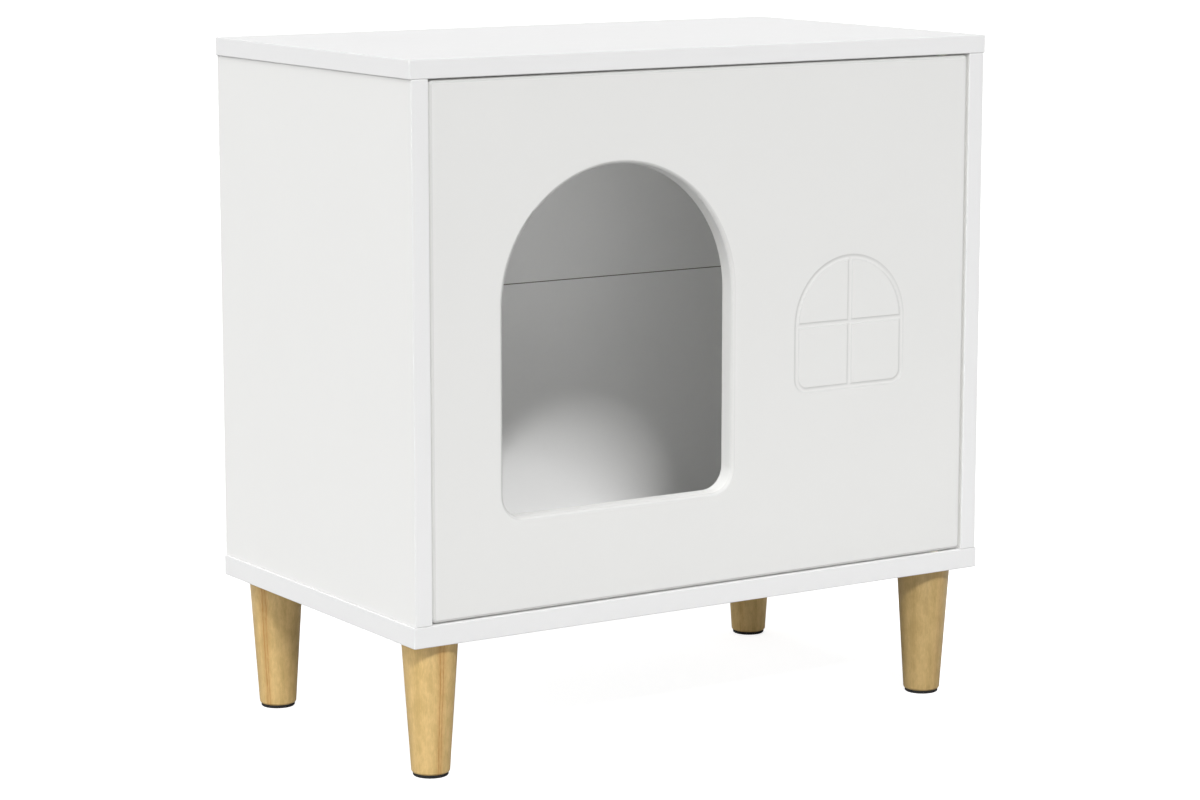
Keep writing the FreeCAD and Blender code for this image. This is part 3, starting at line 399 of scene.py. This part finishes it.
def plastic(name, colours, low, high, grain, glow):
    """Moulded plastic with a fine spark texture."""
    material, tree, shader, where = new_finish(name)
    fine = noise(tree, where, grain, detail=2)
    coloured(tree, shader, wandering(tree, noise(tree, where, scale=120), colours))
    gloss(tree, shader, fine, low, high)
    relief(tree, shader, fine, depth=0.00004)
    constants(shader, Subsurface_Weight=glow, Subsurface_Scale=0.002)
    return material


def beech():
    """Plain beech with short dark flecks along the dowel."""
    material, tree, shader, where = new_finish("beech")
    flecks = noise(tree, stretched(tree, where, (1, 1, 0.12)), scale=1500)
    coloured(tree, shader, wandering(tree, flecks, BEECH_WOOD))
    gloss(tree, shader, flecks, low=0.65, high=0.8)
    relief(tree, shader, flecks, depth=0.0001)
    return material


def ferrite():
    """Sintered magnet, dark grey and grainy."""
    material, tree, shader, where = new_finish("ferrite")
    grains = noise(tree, where, scale=2200, detail=4)
    coloured(tree, shader, wandering(tree, grains, DARK_FERRITE))
    gloss(tree, shader, grains, low=0.5, high=0.7)
    relief(tree, shader, grains, depth=0.00005)
    return material


dress(white_board("white_melamine_level", "Z", LEVEL_BLUE), "top_panel", "bottom_panel")
dress(white_board("white_melamine_upright", "X", UPRIGHT_BLUE), "left_side_panel", "right_side_panel")
dress(back_board(), "back_panel_upper", "back_panel_lower")
dress(door_foil(), "door_panel")
rubber = foam_rubber()
for corner, streak_tone_and_painted_light in LEG_WOOD.items():
    leg_name = f"{corner}_leg"
    dress(pine(f"pine_{corner}", *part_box(leg_name), *streak_tone_and_painted_light), leg_name)
    dress(rubber, f"{corner}_foot_pad")
steel = metal("zinc_plated_steel", PLATED_STEEL, low=0.22, high=0.4, grain=1800)
dress(steel, "leg_hanger_bolts", "back_panel_screws", "cam_bolts", "lower_pivot_pin", "upper_pivot_pin")
dress(steel, "catch_pole_plates", "catch_screws", "door_strike_plate", "strike_plate_screws")
casting = metal("zinc_casting", CAST_ZINC, low=0.4, high=0.6, grain=900)
dress(casting, "cam_locks", "leg_threaded_inserts")
dress(beech(), "wooden_dowels")
moulded = plastic("white_plastic", WHITE_PLASTIC, low=0.3, high=0.42, grain=1300, glow=0.1)
dress(moulded, "cam_cover_caps", "magnetic_catch_housing")
nylon = plastic("nylon", NATURAL_NYLON, low=0.32, high=0.45, grain=1100, glow=0.3)
dress(nylon, "lower_pivot_bush", "upper_pivot_bush")
dress(ferrite(), "catch_magnet")


def floor_sheet(name, half, drop, colours):
    """One flat sheet under the feet, and its shader."""
    mesh = bpy.data.meshes.new(name)
    corners = [(-half, -half, 0), (half, -half, 0), (half, half, 0), (-half, half, 0)]
    mesh.from_pydata(corners, [], [(0, 1, 2, 3)])
    sheet = bpy.data.objects.new(name, mesh)
    sheet.location.z = -drop
    bpy.context.scene.collection.objects.link(sheet)
    material, tree, shader, where = new_finish(name)
    coloured(tree, shader, wandering(tree, noise(tree, where, scale=3), colours))
    constants(shader, Roughness=0.9, Specular_IOR_Level=0.1)
    mesh.materials.append(material)
    return sheet, shader


def pale_floor():
    """A pale floor that keeps shadows pale, and under it the sheet that throws light up."""
    seen, shader = floor_sheet("pale_floor", FLOOR_HALF_WIDTH, FLOOR_DROP, FLOOR_GREY)
    constants(shader, Emission_Color=(1, 1, 1, 1), Emission_Strength=FLOOR_SHINE)
    seen.visible_diffuse = False
    seen.visible_glossy = False
    seen.visible_shadow = False
    bounce, _ = floor_sheet("floor_bounce", BOUNCE_HALF_WIDTH, 2 * FLOOR_DROP, BOUNCE_GREY)
    bounce.visible_camera = False


def sun(name, azimuth, elevation, strength, width):
    """A lamp so far away that it lights the whole floor alike."""
    lamp = bpy.data.lights.new(name, "SUN")
    lamp.energy = strength
    lamp.angle = math.radians(width)
    made = bpy.data.objects.new(name, lamp)
    made.rotation_euler = towards(azimuth, elevation).to_track_quat("Z", "Y").to_euler()
    bpy.context.scene.collection.objects.link(made)


def surroundings():
    """Soft light from all round, with wide glows."""
    world = bpy.data.worlds.new("studio")
    world.use_nodes = True
    tree = world.node_tree
    direction = add(tree, "ShaderNodeTexCoord").outputs["Generated"]
    rise = add(tree, "ShaderNodeSeparateXYZ", {"Vector": direction}).outputs["Z"]
    sky = ranged(tree, rise, -HORIZON_BLUR, 0, low=SKY_LEAST + GROUND_LIGHT, high=SKY_LEAST)
    for azimuth, elevation, strength, sharpness in GLOWS:
        nearness = along(tree, direction, towards(azimuth, elevation))
        glow = calculate(tree, "POWER", calculate(tree, "MAXIMUM", nearness, 0.0), sharpness)
        sky = calculate(tree, "MULTIPLY_ADD", glow, strength, sky)
    background = tree.nodes["Background"]
    background.inputs["Color"].default_value = (1, 1, 1, 1)
    tree.links.new(sky, background.inputs["Strength"])
    bpy.context.scene.world = world


def key_light():
    """The slanted strip of lamps."""
    slant = math.radians(KEY_SLANT)
    for index, place in enumerate(KEY_STEPS, start=1):
        elevation = KEY_ELEVATION + place * math.sin(slant)
        azimuth = KEY_AZIMUTH + place * math.cos(slant) / math.cos(math.radians(elevation))
        sun(f"key_{index}", azimuth, elevation, KEY_STRENGTH, KEY_WIDTH)


def plain_tones():
    """Tones as they are lit, with enough bounces for the inside of the cabinet."""
    scene = bpy.context.scene
    scene.view_settings.view_transform = "Standard"
    scene.cycles.max_bounces = LIGHT_BOUNCES
    scene.cycles.diffuse_bounces = LIGHT_BOUNCES


def photographed_view():
    """The camera, as it stood for the photograph."""
    camera = bpy.data.cameras.new("camera")
    camera.lens = FOCAL_PIXELS * camera.sensor_width / IMAGE_WIDTH
    made = bpy.data.objects.new("camera", camera)
    made.location = CAMERA_PLACE
    made.rotation_euler = (math.radians(90 - CAMERA_TILT), 0, math.radians(CAMERA_AZIMUTH))
    bpy.context.scene.collection.objects.link(made)
    bpy.context.scene.camera = made


pale_floor()
surroundings()
key_light()
plain_tones()
photographed_view()
